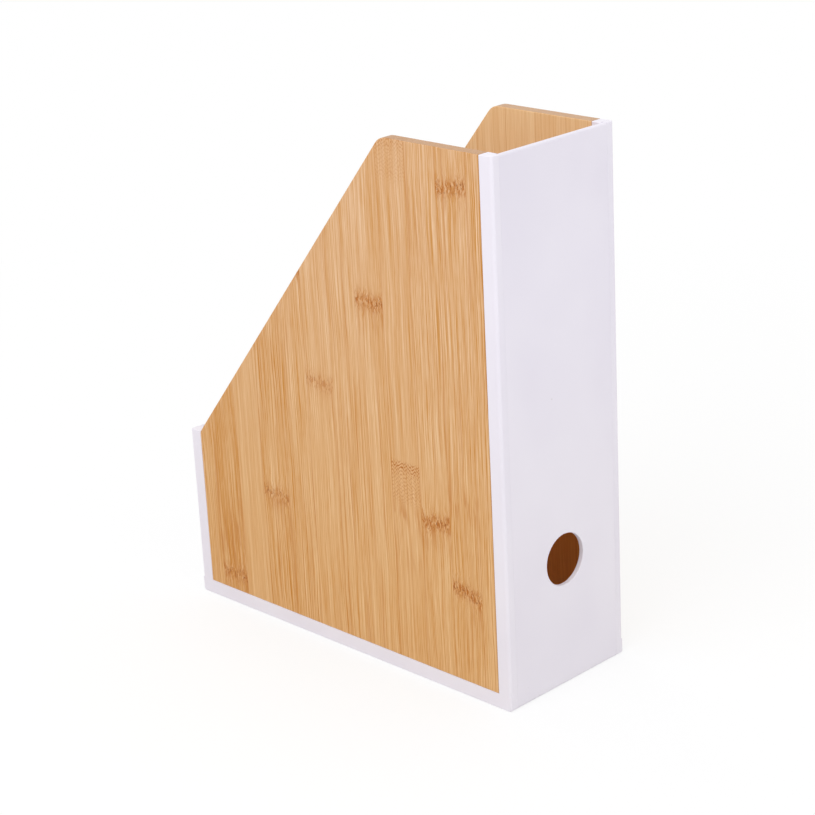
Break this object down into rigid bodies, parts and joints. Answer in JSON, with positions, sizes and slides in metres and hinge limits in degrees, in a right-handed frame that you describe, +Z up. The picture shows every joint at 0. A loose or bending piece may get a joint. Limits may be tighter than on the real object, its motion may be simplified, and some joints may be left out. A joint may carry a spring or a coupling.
{
  "type": "magazine holder",
  "caption": "Upright magazine holder with sloping bamboo sides in white painted frames, a tall back with a finger hole and a low front lip.",
  "frame": {"origin": "middle of the footprint, on the surface that the holder stands on", "axes": "+X across, to the right seen from the low front; +Y from the low front to the tall back; +Z up"},
  "size_m": [0.095, 0.257, 0.31],
  "materials": {
    "white_paint": "smooth satin white paint over wood fibre board",
    "bamboo": "edge-glued bamboo laths under a clear matt varnish",
    "tongue_wood": "plain birch"
  },
  "bodies": {
    "root": {"back_panel": "white_paint", "front_panel": "white_paint", "floor_panel": "white_paint", "left_rail": "white_paint", "left_back_post": "white_paint", "left_front_post": "white_paint", "left_lath_01": "bamboo", "left_lath_02": "bamboo", "left_lath_03": "bamboo", "left_lath_04": "bamboo", "left_lath_05": "bamboo", "left_lath_06": "bamboo", "left_lath_07": "bamboo", "left_lath_08": "bamboo", "left_lath_09": "bamboo", "left_lath_10": "bamboo", "left_lath_11": "bamboo", "left_lath_12": "bamboo", "left_rail_tongue": "tongue_wood", "left_back_tongue": "tongue_wood", "left_front_tongue": "tongue_wood", "right_rail": "white_paint", "right_back_post": "white_paint", "right_front_post": "white_paint", "right_lath_01": "bamboo", "right_lath_02": "bamboo", "right_lath_03": "bamboo", "right_lath_04": "bamboo", "right_lath_05": "bamboo", "right_lath_06": "bamboo", "right_lath_07": "bamboo", "right_lath_08": "bamboo", "right_lath_09": "bamboo", "right_lath_10": "bamboo", "right_lath_11": "bamboo", "right_lath_12": "bamboo", "right_rail_tongue": "tongue_wood", "right_back_tongue": "tongue_wood", "right_front_tongue": "tongue_wood"}
  },
  "joints": []
}
